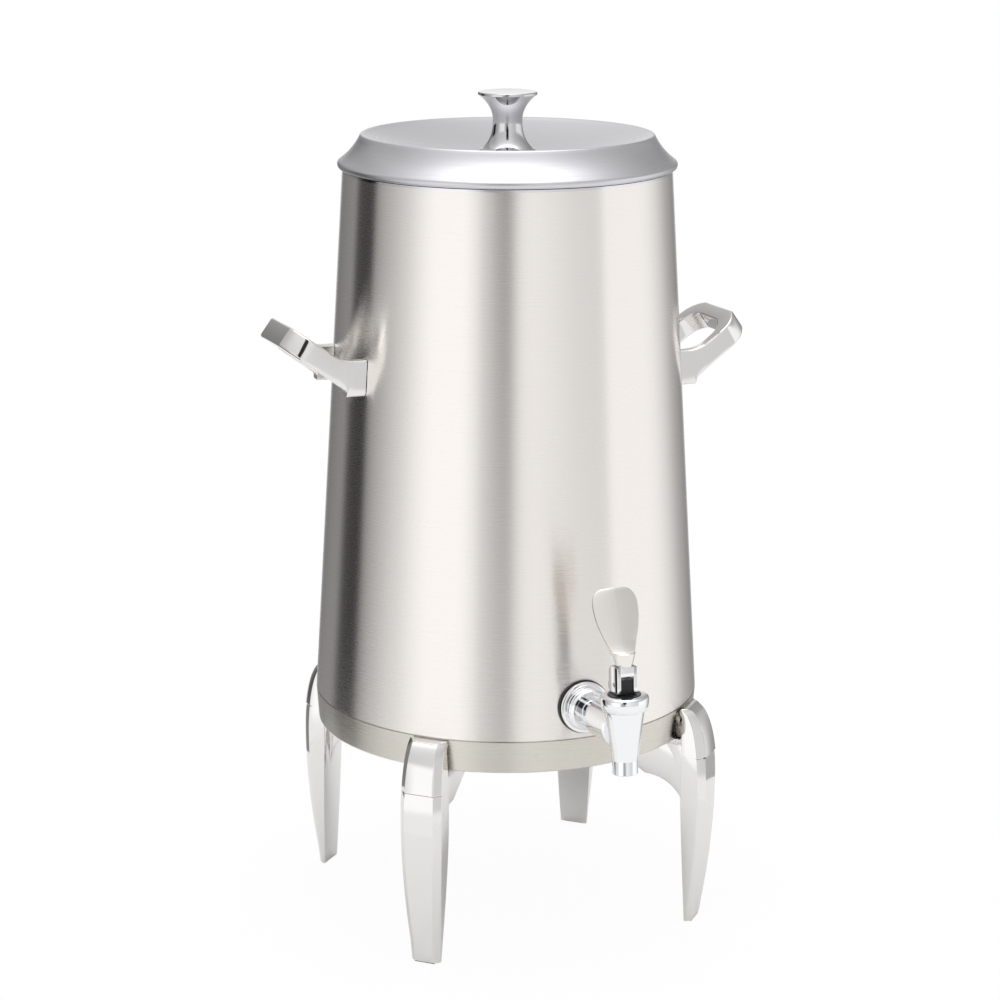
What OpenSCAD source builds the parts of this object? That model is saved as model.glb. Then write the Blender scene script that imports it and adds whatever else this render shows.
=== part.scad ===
// Insulated coffee urn: a double-walled stainless vessel on four cast legs, with a
// lift-off lid, two fixed loop handles and a lever tap. Millimetres, +Z up. The origin
// is on the worktop under the vessel's axis, and the tap faces -Y.

/* [Vessel] */
// Outer diameter of the jacket at its lower edge
jacket_d = 260; // [240:2:290]
// Outer diameter of the jacket at its upper edge
mouth_d = 217.4; // [205:0.2:228]
// Height of the jacket
jacket_h = 351; // [300:1:400]
// Thickness of the jacket sheet
jacket_t = 1; // [0.6:0.1:1.5]
// Thickness of the liner sheet
liner_t = 1; // [0.6:0.1:1.5]
// Width of the air gap between jacket and liner
wall_gap = 9; // [8:0.5:12]
// Radius of the liner's bottom corner
liner_corner_r = 4; // [2:0.5:6]
// Thickness of the ring that closes the double wall at the mouth
mouth_ring_t = 1.5; // [1:0.1:3]

/* [Base] */
// Height of the base above the worktop
base_clear = 131.4; // [115:0.2:150]
// Height of the base band
band_h = 21.1; // [18:0.1:28]
// Thickness of the base band
band_t = 2; // [1.5:0.1:3]
// Amount by which the band narrows towards its lower edge, on the radius
band_taper = 1.4; // [0:0.1:3]
// Radius of the band's lower edge
band_edge_r = 1; // [0.5:0.1:1.8]
// Height of the dark seam between band and jacket
seam_gap = 1; // [0.6:0.1:2]
// Height of the spigot that holds the jacket on the band
spigot_h = 8; // [5:0.5:14]
// Thickness of the base plate
base_plate_t = 3; // [2:0.5:5]
// Height of the space between base plate and liner
base_gap = 23; // [21:0.5:24]
// Thickness of the insulation under the liner
base_foam_t = 15; // [8:0.5:15]
// Width of the cradle ring's wall
cradle_w = 7; // [4:0.5:10]
// Distance from the cradle ring to the liner's side
cradle_inset = 13; // [10:0.5:18]

/* [Legs] */
// Greatest width of a leg
leg_w = 29; // [26:0.5:34]
// Width of a leg at the foot
foot_w = 20; // [16:0.5:24]
// Width of a leg at its top
leg_top_w = 25.5; // [22:0.5:29]
// Distance the leg stands out from the band
leg_out = 20; // [17:0.5:24]
// Gap between the band and the leg's inner face
leg_gap = 2.5; // [1.5:0.1:4]
// Distance the foot's outer edge lies inside the leg's outer face
foot_tuck = 9; // [6:0.5:12]
// Thickness of the foot
foot_t = 5.6; // [5:0.1:8]
// Height of the leg's widest stretch above the worktop
leg_widest_z = 104; // [90:1:110]
// Height of the curved top of the leg
leg_crown_h = 54; // [48:1:62]
// Width of the web under the leg's arm
web_w = 11; // [8:0.5:16]
// Depth of the web under the base
web_drop = 30; // [25:0.5:36]
// Depth of the broad fillet between leg and base
fillet_drop = 41; // [34:0.5:46]
// Reach of the broad fillet towards the middle of the base
fillet_reach = 21; // [16:0.5:26]
// Thickness of the arm's flange
flange_t = 5; // [4:0.5:7]
// Distance from the vessel's axis to the arm screw
arm_screw_r = 70; // [64:0.5:76]
// Length of the arm past its screw
arm_end = 8; // [7:0.5:12]
// Width of the arm's flange
flange_w = 26; // [20:0.5:30]
// Height of the rubber pad that shows under the foot
pad_stand = 0.6; // [0.4:0.1:1.5]
// Depth of the pad's pocket in the foot
pad_pocket = 3; // [2:0.5:5]
// Width of a foot pad
pad_w = 14; // [10:0.5:15]
// Thickness of a foot pad
pad_t = 3.2; // [2.5:0.1:3.6]
// Diameter of the arm screws
arm_screw_d = 6; // [5:0.5:6]
// Diameter of the hook screws
hook_screw_d = 5; // [4:0.5:6]
// Diameter of the boss that spaces the leg from the band
boss_d = 11; // [9:0.5:13]

/* [Handles] */
// Height of the underside of the right handle's base above the worktop
handle_z = 357.5; // [300:0.5:375]
// Height by which the left handle sits above the right one
handle_stagger = 10.5; // [0:0.5:14]
// Height of a handle's base
handle_base_h = 23.5; // [20:0.5:28]
// Distance the base stands out from the jacket, at its underside
handle_base_out = 8.2; // [7:0.1:12]
// Height of the base's outer face, up to the knee of the arm
handle_step = 4; // [3:0.1:7]
// Overall width of the handle
handle_w = 66; // [60:0.5:74]
// Width of the straight stretch of the grip
handle_end_w = 24; // [20:0.5:28]
// Width of one arm of the handle
handle_arm_w = 8; // [7:0.5:10]
// Depth of the arm
handle_arm_t = 14.5; // [12:0.5:17]
// Length of the arm from knee to outer end
handle_arm_l = 51; // [46:0.5:58]
// Length of the curve between arm and grip
handle_corner_l = 22; // [18:0.5:26]
// Thickness of the grip at the outer end
handle_grip_t = 11; // [9:0.5:13]
// Angle at which the arm rises
handle_rise = 36.5; // [30:0.5:42]
// Diameter of the handle screws
handle_screw_d = 5; // [4:0.5:5]

/* [Lid] */
// Distance the lid's rim stands out from the jacket
lid_over = 3; // [1:0.1:4]
// Diameter of the rolled bead around the rim
bead_d = 5.4; // [4.5:0.1:6]
// Height of the lid's crest above the mouth
lid_h = 22.8; // [20:0.2:27]
// Radius of the lid's crest
crest_r = 95.4; // [88:0.2:97]
// Depth of the dish in the lid's top
dish_h = 12; // [8:0.5:13]
// Thickness of the lid's sheet
lid_t = 1.2; // [0.8:0.1:1.5]
// Thickness of the inner pan's sheet
pan_t = 0.8; // [0.6:0.1:1.2]
// Depth of the inner pan below the mouth
pan_depth = 18; // [10:0.5:26]
// Clearance between the inner pan and the mouth
pan_clear = 0.8; // [0.5:0.1:1.5]
// Thickness of the lid gasket
gasket_t = 1.5; // [1:0.1:2]

/* [Knob] */
// Diameter of the knob's foot
knob_foot_d = 36.8; // [32:0.2:42]
// Diameter of the knob's neck
knob_neck_d = 19.6; // [16:0.2:24]
// Diameter of the knob's top
knob_top_d = 39; // [34:0.2:46]
// Height of the knob
knob_h = 39; // [34:0.5:46]
// Height of the flare that spreads to the knob's foot
knob_foot_h = 10.5; // [8:0.5:13]
// Height of the flare that spreads to the knob's top
knob_top_h = 12; // [9:0.5:15]
// Diameter of the knob screw
knob_screw_d = 5; // [4:0.5:6]

/* [Tap] */
// Height of the tap's shank above the worktop, at the jacket
tap_z = 174; // [172:0.5:200]
// Distance from the jacket to the tap's upright axis
tap_reach = 62.3; // [58:0.1:70]
// Diameter of the shank
shank_d = 16; // [15:0.5:17]
// Diameter of the bore through shank and spout
bore_d = 11; // [9:0.5:12]
// Length of the shank inside the vessel's outer surface
shank_in = 21; // [20:0.5:26]
// Diameter of the outer seal
seal_d = 34.8; // [32:0.2:40]
// Thickness of the outer seal
seal_t = 1.4; // [1:0.1:4]
// Diameter of the flange
tap_flange_d = 33.4; // [30:0.2:38]
// Thickness of the flange
tap_flange_t = 3.6; // [2:0.1:4]
// Diameter of the lock nut
lock_nut_d = 27; // [25:0.5:31]
// Thickness of the lock nut
lock_nut_t = 7; // [5:0.5:9]
// Diameter of the hub between shank and barrel
hub_d = 25; // [22:0.5:25.5]
// Distance from the hub's inner face to the tap's upright axis
hub_l = 33.3; // [28:0.1:38]
// Diameter of the barrel at its top
barrel_d = 25; // [24:0.5:27]
// Height of the barrel above the shank's axis
barrel_up = 18; // [17:0.5:20]
// Diameter of the spout's tip
spout_d = 16.4; // [15:0.1:18]
// Length of the spout below the shank's axis
spout_drop = 28; // [26:0.5:36]
// Length of the spout's straight tip
spout_tip_l = 9; // [7:0.5:11]
// Diameter of the valve chamber
chamber_d = 17; // [16.5:0.1:17.2]
// Depth of the valve seat below the shank's axis
seat_drop = 6; // [6:0.1:7]
// Diameter of the bonnet
bonnet_d = 31; // [29:0.5:34]
// Height of the bonnet
bonnet_h = 10.2; // [9.6:0.2:12]
// Length of the thread that joins bonnet and barrel
bonnet_lap = 5.2; // [4.6:0.1:5.8]
// Diameter of the stem guide
guide_d = 21; // [19:0.5:23]
// Thickness of the stem guide
guide_t = 3; // [2.5:0.1:3.5]
// Height of the guide above the bonnet
guide_stand = 0.5; // [0.2:0.1:1]

/* [Valve and lever] */
// Diameter of the stem
stem_d = 8; // [7:0.1:8]
// Radial running clearance of stem and pin
run_clear = 0.08; // [0.04:0.01:0.1]
// Diameter of the seat cup
cup_d = 14; // [13:0.5:15]
// Height of the seat cup
cup_h = 9.2; // [8:0.1:9.5]
// Thickness of the stem's spring collar
collar_t = 1.8; // [1:0.1:2]
// Diameter of the spring's wire
wire_d = 1.2; // [1:0.1:1.4]
// Mean diameter of the spring
spring_d = 12; // [11.5:0.1:12.5]
// Number of the spring's turns
spring_turns = 5; // [4:1:5]
// Gap between the lever's base and the stem guide
lever_gap = 0.3; // [0.2:0.05:0.6]
// Width of the lever's yoke
yoke_w = 14; // [13:0.5:18]
// Depth of the lever's yoke in front of the stem's axis
yoke_front = 5; // [4.8:0.1:5.6]
// Depth of the lever's yoke behind the stem's axis
yoke_back = 8.5; // [7.5:0.1:10]
// Height of the lever's yoke
yoke_h = 17.4; // [16:0.1:22]
// Width of the slot for the stem
slot_w = 8.6; // [8.6:0.1:9.2]
// Diameter of the lever pin
lever_pin_d = 3; // [2.5:0.1:3.5]
// Height of the pin above the lever's base
pin_up = 5.9; // [5.5:0.1:6.5]
// Diameter of the paddle's neck at its lower end
neck_d = 11; // [10:0.2:13]
// Diameter of the paddle's neck at its upper end
neck_top_d = 14.6; // [13:0.2:17]
// Height of the paddle's neck
neck_h = 9; // [7:0.5:11]
// Diameter of the stud between yoke and paddle
stud_d = 6; // [5:0.5:7]
// Greatest width of the paddle
paddle_w = 31; // [27:0.5:36]
// Height of the paddle
paddle_h = 42; // [38:0.5:50]
// Height of the paddle's widest place above its foot
paddle_wide_h = 30.5; // [26:0.5:34]
// Width of the straight stretch of the paddle's top
paddle_flat_w = 14.6; // [8:0.2:20]
// Thickness of the paddle
paddle_t = 5; // [4:0.5:7]
// Backward lean of the paddle
paddle_lean = 21; // [12:0.5:26]

/* [Hidden] */

$fn = 64;
wide_fn = 240; // steps around the vessel's own cones
cut = 1; // overshoot of a cutting solid past the face it cuts
polish = [0.86, 0.87, 0.88];
brushed = [0.72, 0.71, 0.69];
black = [0.08, 0.08, 0.08];
steel = [0.62, 0.63, 0.65];

// Heights of the stack, from the worktop up
seam_z = base_clear + band_h;
jacket_z0 = seam_z + seam_gap;
jacket_z1 = jacket_z0 + jacket_h;
mouth_z = jacket_z1 + mouth_ring_t;
plate_z = base_clear + base_plate_t;
liner_z = plate_z + base_gap;

// The jacket's cone: its radius at any height, and its half angle
slope = (jacket_d - mouth_d) / 2 / jacket_h;
cone_a = atan(slope);
function jacket_r(z) = jacket_d / 2 - slope * (z - jacket_z0);

liner_inset = jacket_t + wall_gap;
double_wall = liner_inset + liner_t;
mouth_bore_r = jacket_r(jacket_z1) - double_wall;
band_r = jacket_r(jacket_z0);
band_low_r = band_r - band_taper;
band_bore_r = band_low_r - band_t;

// Points along an arc or a quarter ellipse
function arc(c, rx, ry, a0, a1, n) =
    [for (i = [0:n]) let (a = a0 + (a1 - a0) * i / n) [c.x + rx * cos(a), c.y + ry * sin(a)]];
function mirrored(p) = [for (i = [len(p) - 1:-1:0]) [-p[i].x, p[i].y]];

// Turns a piece drawn towards -Y to its place around the vessel
module around(a) rotate([0, 0, a]) children();
// Stands a 2D side view, drawn as [radius, height], along the -Y direction
module side_plate(w) rotate([90, 0, -90]) linear_extrude(w, center = true) children();
// A solid cone parallel to the jacket, inset by the given amount
module cone(inset, z0, z1)
    translate([0, 0, z0])
        cylinder(h = z1 - z0, r1 = jacket_r(z0) - inset, r2 = jacket_r(z1) - inset, $fn = wide_fn);
// A cylinder along -Y, from one distance to another
module spoke(d, y0, y1) translate([0, -y0, 0]) rotate([90, 0, 0]) cylinder(h = y1 - y0, d = d);
module tube(d, bore, h) difference() {
    cylinder(h = h, d = d);
    translate([0, 0, -cut]) cylinder(h = h + 2 * cut, d = bore);
}
// A hexagon across its flats
module hex(flats, h) cylinder(h = h, d = flats / cos(30), $fn = 6);

// ---- Vessel ----

wall_hole_clear = 0.5; // clearance of the shank in both walls
module tap_hole() at_tap() spoke(shank_d + 2 * wall_hole_clear, -shank_in - cut, seal_t);

module outer_jacket() color(brushed) difference() {
    cone(0, jacket_z0, jacket_z1);
    cone(jacket_t, jacket_z0 - cut, jacket_z1 + cut);
    tap_hole();
    screw_spokes(handle_screw_d, -wall_gap, handle_base_out);
}

module mouth_ring() color(polish) translate([0, 0, jacket_z1])
    tube(2 * jacket_r(jacket_z1), 2 * mouth_bore_r, mouth_ring_t);

module inner_liner() color(steel) difference() {
    rotate_extrude() polygon(concat(
        [[0, liner_z]],
        arc([liner_low_r - liner_corner_r, liner_z + liner_corner_r],
            liner_corner_r, liner_corner_r, -90, 0, 6),
        [[mouth_bore_r + liner_t, jacket_z1], [mouth_bore_r, jacket_z1]],
        arc([liner_low_r - liner_corner_r, liner_z + liner_corner_r],
            liner_corner_r - liner_t, liner_corner_r - liner_t, 0, -90, 6),
        [[0, liner_z + liner_t]]));
    tap_hole();
}
liner_low_r = jacket_r(liner_z + liner_corner_r) - liner_inset;

// Spacer around the shank that keeps the two walls apart where the tap pulls on them
sleeve_w = 4;
module outlet_sleeve() color(steel) intersection() {
    difference() {
        at_tap() spoke(shank_d + 2 * wall_hole_clear + 2 * sleeve_w, -shank_in, cut);
        tap_hole();
        cone(liner_inset, liner_z, jacket_z1);
    }
    cone(jacket_t, jacket_z0, jacket_z1);
}

// ---- Base ----

module band_solid() translate([0, 0, base_clear])
    cylinder(h = band_h, r1 = band_low_r, r2 = band_r, $fn = wide_fn);

module base_band() color(brushed) difference() {
    rotate_extrude() polygon(concat(
        [[band_bore_r, base_clear]],
        arc([band_low_r - band_edge_r, base_clear + band_edge_r], band_edge_r, band_edge_r, -90, 0, 4),
        [[band_r, seam_z], [jacket_r(seam_z) - jacket_t, seam_z],
         [jacket_r(seam_z + spigot_h) - jacket_t, seam_z + spigot_h],
         [jacket_r(seam_z + spigot_h) - jacket_t - band_t, seam_z + spigot_h],
         [band_bore_r, seam_z]]));
    at_legs() translate([0, 0, hook_screw_z]) spoke(hook_screw_d, band_bore_r - cut, band_r + cut);
}

module base_plate() color(steel) difference() {
    translate([0, 0, base_clear]) cylinder(h = base_plate_t, r = band_bore_r);
    at_legs() translate([0, -arm_screw_r, base_clear - cut])
        cylinder(h = base_plate_t + 2 * cut, d = arm_screw_d);
}

cradle_r = liner_low_r - cradle_inset;
module liner_cradle() color(black) translate([0, 0, plate_z])
    tube(2 * cradle_r, 2 * (cradle_r - cradle_w), base_gap);

module base_insulation() color([0.9, 0.85, 0.6]) translate([0, 0, liner_z - base_foam_t])
    cylinder(h = base_foam_t, r = cradle_r - cradle_w);

// ---- Legs ----

module at_legs() for (a = [45, -45, 135, -135]) around(a) children();

leg_in_r = band_r + leg_gap;
leg_out_r = band_r + leg_out;
foot_out_r = leg_out_r - foot_tuck;
foot_in_r = foot_out_r - foot_t;
leg_top_z = seam_z;
crown_z = leg_top_z - leg_crown_h;
hook_screw_z = base_clear + band_h / 2;
crown_bulge = 2.3;  // exponent of the crown's rounded outline
hook_tip_t = 3;     // thickness of the hook's tip over the band
hook_tip_gap = 0.6; // gap between the hook's tip and the band
// Radius of the long outer curve, which is upright at the crown and passes the foot
shin_r = (crown_z * crown_z + foot_tuck * foot_tuck) / (2 * foot_tuck);

// Outline of the leg seen from the side, as [radius, height]
function shin_points() = [for (z = [pad_stand:(crown_z - pad_stand) / 12:crown_z - cut])
    [leg_out_r - shin_r + sqrt(shin_r * shin_r - pow(crown_z - z, 2)), z]];
function crown_points() = [for (i = [0:12]) let (a = 90 * i / 12)
    [leg_in_r + (leg_out - leg_gap) * pow(cos(a), 2 / crown_bulge),
     crown_z + leg_crown_h * pow(sin(a), 2 / crown_bulge)]];
module leg_side() polygon(concat(
    [[foot_in_r, pad_stand]], shin_points(), crown_points(),
    [[band_r + hook_tip_gap, leg_top_z - hook_tip_t / 3],
     [band_r + hook_tip_gap, leg_top_z - hook_tip_t],
     [leg_in_r, leg_top_z - 2 * hook_tip_t],
     [leg_in_r, base_clear - fillet_drop]]));

// Outline of the leg seen from the front: widest near the crown, narrow at the foot
function half_w(z) = z < leg_widest_z
    ? foot_w / 2 + (leg_w - foot_w) / 2 * sin(90 * z / leg_widest_z)
    : leg_w / 2 - (leg_w - leg_top_w) / 2 * pow((z - leg_widest_z) / (leg_top_z - leg_widest_z), 2);
function front_points() = [for (i = [0:16]) let (z = leg_top_z * i / 16) [half_w(z), z]];
module leg_front() polygon(concat(front_points(), mirrored(front_points())));

web_root_w = 28.5; // width of the web's curved root, beside the leg
web_root_h = 25.6; // height of the web's curved root
web_end = 12;      // distance from the arm screw to the web's thin end
web_nose = 3;      // reach of the web's thin end over its upper corner
web_root_z = base_clear - web_drop - web_root_h;
module leg_web() side_plate(web_w) polygon(concat(
    [[leg_in_r + cut, web_root_z]],
    arc([leg_in_r - web_root_w, web_root_z], web_root_w, web_root_h, 0, 90, 12),
    [[arm_screw_r + web_end, base_clear - web_drop / 2],
     [arm_screw_r + web_end - web_nose, base_clear - flange_t / 2],
     [leg_in_r + cut, base_clear - flange_t / 2]]));

fillet_turn = 77; // angle through which the broad fillet curves
module leg_fillet() side_plate(flange_w) polygon(concat(
    [[leg_in_r + cut, base_clear - fillet_drop]],
    arc([leg_in_r - fillet_reach, base_clear - fillet_drop], fillet_reach, fillet_drop + cut,
        0, fillet_turn, 10),
    [[leg_in_r - fillet_reach, base_clear], [leg_in_r + cut, base_clear]]));

module leg(a) color(polish) around(a) difference() {
    union() {
        intersection() {
            side_plate(leg_w + cut) leg_side();
            rotate([90, 0, 0]) linear_extrude(leg_out_r + cut) leg_front();
        }
        leg_web();
        intersection() {
            leg_fillet();
            translate([-leg_w / 2, -leg_out_r, 0]) cube([leg_w, leg_out_r, base_clear]);
        }
        translate([-flange_w / 2, -leg_in_r - cut, base_clear - flange_t])
            cube([flange_w, leg_in_r + cut - arm_screw_r + arm_end, flange_t]);
        difference() {
            translate([0, 0, hook_screw_z]) spoke(boss_d, band_r - band_taper - cut, leg_in_r + cut);
            band_solid();
        }
    }
    translate([0, -arm_screw_r, base_clear - flange_t - cut])
        cylinder(h = flange_t + 2 * cut, d = arm_screw_d);
    translate([0, 0, hook_screw_z]) spoke(hook_screw_d, band_bore_r, hook_screw_end);
    translate([-pad_w / 2, -pad_out_r, pad_stand - cut]) cube([pad_w, pad_t, pad_pocket + cut]);
}
pad_out_r = foot_out_r - (foot_t - pad_t) / 2;
hook_screw_bite = 6; // length of the hook screw in the leg
hook_screw_end = leg_in_r + hook_screw_bite;

module foot_pads() color(black) at_legs()
    translate([-pad_w / 2, -pad_out_r, 0]) cube([pad_w, pad_t, pad_stand + pad_pocket]);

washer_t = 1;
head_ratio = 1.7; // head diameter of a screw, as a multiple of its shank
head_h = 3;

arm_nut_h = 4;
module leg_arm_screws() color(steel) at_legs() translate([0, -arm_screw_r, 0]) {
    translate([0, 0, base_clear - flange_t - washer_t])
        cylinder(h = flange_t + washer_t + base_plate_t + arm_nut_h, d = arm_screw_d);
    translate([0, 0, base_clear - flange_t - washer_t - head_h]) hex(arm_screw_d * head_ratio, head_h);
}

module leg_arm_washers() color(steel) at_legs()
    translate([0, -arm_screw_r, base_clear - flange_t - washer_t])
        tube(arm_screw_d * 2, arm_screw_d, washer_t);

module leg_arm_nuts() color(steel) at_legs() translate([0, -arm_screw_r, plate_z]) difference() {
    hex(arm_screw_d * head_ratio, arm_nut_h);
    translate([0, 0, -cut]) cylinder(h = arm_nut_h + 2 * cut, d = arm_screw_d);
}

// A flat washer meets the round bore at its edges, so it lies this far from the axis
hook_washer_y = sqrt(band_bore_r * band_bore_r - hook_screw_d * hook_screw_d) - washer_t;
module leg_hook_screws() color(steel) at_legs() translate([0, 0, hook_screw_z]) {
    spoke(hook_screw_d, hook_washer_y, hook_screw_end);
    spoke(hook_screw_d * head_ratio, hook_washer_y - head_h, hook_washer_y);
}

module leg_hook_washers() color(steel) at_legs() translate([0, 0, hook_screw_z]) difference() {
    spoke(hook_screw_d * 2, hook_washer_y, hook_washer_y + washer_t);
    spoke(hook_screw_d, hook_washer_y - cut, hook_washer_y + washer_t + cut);
}

// ---- Handles ----

// The angle of each handle around the vessel, and the height of its base's underside
right_handle = [90, handle_z];
left_handle = [-90, handle_z + handle_stagger];
base_back = 3 * handle_base_out; // depth of a base's block before the jacket's cone trims it
pad_over = 1;     // amount by which a base is wider than its arm
loop_narrow = 3;  // amount by which the loop's opening ends sooner than its outer curve
loop_steps = 8;   // steps along the curve between arm and grip

// Outline of the loop in its own sloping plane, as [across, -along]
module loop_outline(half, end, l, corner) polygon(concat(
    [[-half, cut], [half, cut]],
    arc([end, corner - l], half - end, corner, 0, -90, loop_steps),
    arc([-end, corner - l], half - end, corner, -90, -180, loop_steps)));

screw_w = (handle_w - handle_arm_w) / 2;
function screw_z(z) = z + handle_base_h / 2;
// Distance of the jacket's outer surface from the middle plane, at a handle's screws
function screw_wall_y(z) = sqrt(pow(jacket_r(screw_z(z)), 2) - screw_w * screw_w);

// A cylinder along every handle screw, between two distances outwards from the jacket
module screw_spokes(d, y0, y1) for (place = [right_handle, left_handle], w = [-screw_w, screw_w])
    around(place[0]) translate([w, 0, screw_z(place[1])])
        spoke(d, screw_wall_y(place[1]) + y0, screw_wall_y(place[1]) + y1);

handle_bite = 8; // length of the handle screw in the handle
module handle(place) color(polish) difference() {
    z = place[1];
    knee_r = jacket_r(z) + handle_base_out;
    knee_z = z + handle_step;
    top_z = z + handle_base_h;
    // Where the arm's upper face leaves the top of the base
    top_r = knee_r + (top_z - knee_z - handle_arm_t / cos(handle_rise)) / tan(handle_rise);
    around(place[0]) {
        translate([0, -knee_r, knee_z]) rotate([-handle_rise, 0, 0]) linear_extrude(handle_arm_t)
            difference() {
                loop_outline(handle_w / 2, handle_end_w / 2, handle_arm_l, handle_corner_l);
                loop_outline(handle_w / 2 - handle_arm_w, handle_end_w / 2 - loop_narrow,
                    handle_arm_l - handle_grip_t, handle_corner_l - loop_narrow);
            }
        for (w = [-screw_w, screw_w]) translate([w, 0, 0]) side_plate(handle_arm_w + pad_over)
            polygon([[knee_r - base_back, z], [knee_r, z], [knee_r, knee_z],
                [top_r, top_z], [knee_r - base_back, top_z]]);
    }
    cone(0, z - handle_base_h, top_z + handle_base_h);
    screw_spokes(handle_screw_d, -2 * cut, handle_bite);
}

saddle_t = 2;       // thickness of the saddle washer at its middle
saddle_ratio = 2.4; // diameter of the saddle washer, as a multiple of its screw
saddle_back = jacket_t + saddle_t;
module handle_screws() color(steel) {
    screw_spokes(handle_screw_d, -saddle_back, handle_bite);
    screw_spokes(handle_screw_d * head_ratio, -saddle_back - head_h, -saddle_back);
}

module handle_saddle_washers() color(steel) intersection() {
    difference() {
        screw_spokes(handle_screw_d * saddle_ratio, -saddle_back, 0);
        screw_spokes(handle_screw_d, -saddle_back - cut, cut);
    }
    cone(jacket_t, jacket_z0, jacket_z1);
}

// ---- Lid ----

lid_seat_z = mouth_z + gasket_t;
hem_z = lid_seat_z + pan_t;
lid_rim_gap = 0.5; // dark gap between the rim and the mouth ring
bead = [jacket_r(jacket_z1) + lid_over - bead_d / 2, mouth_z + lid_rim_gap + bead_d / 2];
bead_join_a = 50;  // angle on the bead at which the shoulder meets it
crest_z = mouth_z + lid_h;
crest_round = 4;   // width of the rounded crest
crest_fall = 0.9;  // height of the crest's rounding
shoulder_sag = 1.4; // hollow of the shoulder between crest and bead
hem_w = 5;         // width of the hem that holds the inner pan
land_r = knob_foot_d / 2 + 1; // radius of the flat land that carries the knob
function dish_z(r) = crest_z - dish_h * (1 - pow(max(0, (r - land_r) / (crest_r - land_r)), 2));
dish_steps = 10;

shoulder_top = [crest_r + crest_round / 3, crest_z - crest_fall];
shoulder_end = bead + bead_d / 2 * [cos(bead_join_a), sin(bead_join_a)];
shoulder_run = shoulder_end - shoulder_top;
shoulder_in = [shoulder_run.y, -shoulder_run.x] / norm(shoulder_run);

// Line of the lid from the middle to the bead, at a depth into its sheet
function lid_line(drop) = concat(
    [[0, dish_z(0) - drop]],
    [for (i = [0:dish_steps]) let (r = land_r + (crest_r - crest_round - land_r) * i / dish_steps)
        [r, dish_z(r) - drop]],
    [[crest_r - crest_round / 3, crest_z - drop],
     shoulder_top + drop * shoulder_in,
     (shoulder_top + shoulder_end) / 2 + (shoulder_sag + drop) * shoulder_in,
     shoulder_end + drop * shoulder_in]);
function reversed(p) = [for (i = [len(p) - 1:-1:0]) p[i]];

pan_r = mouth_bore_r - pan_clear;
pan_rim_r = bead.x - 1;
pan_rim_play = 0.6; // gap between the pan's rim and the bead around it
module lid_shell() color(polish) difference() {
    union() {
        rotate_extrude() polygon(concat(lid_line(0), reversed(lid_line(lid_t))));
        rotate_extrude() translate(bead) circle(d = bead_d);
        translate([0, 0, hem_z]) tube(2 * bead.x, 2 * (bead.x - hem_w), lid_t);
    }
    translate([0, 0, dish_z(0) - lid_t - cut]) cylinder(h = lid_t + 2 * cut, d = knob_screw_d);
    translate([0, 0, mouth_z - cut]) cylinder(h = gasket_t + pan_t + cut, r = pan_rim_r + pan_rim_play);
}

module lid_inner_pan() color(steel) rotate_extrude() polygon([
    [0, mouth_z - pan_depth], [pan_r, mouth_z - pan_depth], [pan_r, lid_seat_z],
    [pan_rim_r, lid_seat_z], [pan_rim_r, hem_z], [pan_r - pan_t, hem_z],
    [pan_r - pan_t, mouth_z - pan_depth + pan_t], [0, mouth_z - pan_depth + pan_t]]);

knob_washer_t = 1.5;
foam_gap = 0.5; // gap between the foam and the knob screw's head
foam_top_z = dish_z(0) - lid_t - knob_washer_t - head_h - foam_gap;
module lid_insulation() color([0.95, 0.95, 0.93])
    translate([0, 0, mouth_z - pan_depth + pan_t])
        cylinder(h = foam_top_z - mouth_z + pan_depth - pan_t, r = pan_r - pan_t);

gasket_inset = 1; // distance of the gasket's edges from the pan's rim and the mouth
module lid_gasket() color(black) translate([0, 0, mouth_z])
    tube(2 * (pan_rim_r - gasket_inset), 2 * (mouth_bore_r + gasket_inset), gasket_t);

knob_z = dish_z(0);
knob_rim_t = 1.8;   // thickness of the knob's rims
knob_edge_r = 0.9;  // radius of the edge of the knob's top
knob_steps = 8;     // steps along a flare of the knob
// Half outline of the spool: a flared foot, a straight neck and a wider flared top
function knob_points() = concat(
    [[0, 0], [knob_foot_d / 2, 0]],
    arc([knob_foot_d / 2, knob_foot_h], (knob_foot_d - knob_neck_d) / 2, knob_foot_h - knob_rim_t,
        -90, -180, knob_steps),
    arc([knob_top_d / 2, knob_h - knob_top_h], (knob_top_d - knob_neck_d) / 2,
        knob_top_h - knob_rim_t, 180, 90, knob_steps),
    arc([knob_top_d / 2 - knob_edge_r, knob_h - knob_edge_r], knob_edge_r, knob_edge_r, 0, 90, 4),
    [[0, knob_h]]);
knob_bite = 14; // length of the knob screw in the knob

module lid_knob() color(polish) translate([0, 0, knob_z]) difference() {
    rotate_extrude() polygon(knob_points());
    translate([0, 0, -cut]) cylinder(h = knob_bite + cut, d = knob_screw_d);
}

module knob_washer() color(steel) translate([0, 0, knob_z - lid_t - knob_washer_t])
    tube(knob_screw_d * 3, knob_screw_d, knob_washer_t);

module knob_screw() color(steel) translate([0, 0, knob_z - lid_t - knob_washer_t]) {
    cylinder(h = lid_t + knob_washer_t + knob_bite, d = knob_screw_d);
    translate([0, 0, -head_h]) cylinder(h = head_h, d = knob_screw_d * head_ratio);
}

// ---- Tap ----

// The tap's own frame: its origin on the jacket, -Y out along the shank, square to the wall
module at_tap() translate([0, -jacket_r(tap_z), tap_z]) rotate([-cone_a, 0, 0]) children();
module on_barrel(z = 0) at_tap() translate([0, -tap_reach, z]) children();

seal_back = 3; // depth of the outer seal before the jacket's cone trims it
module tap_outer_seal() color(black) difference() {
    at_tap() spoke(seal_d, -seal_back, seal_t);
    cone(0, jacket_z0, jacket_z1);
    at_tap() spoke(shank_d, -seal_back - cut, seal_t + cut);
}

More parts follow.
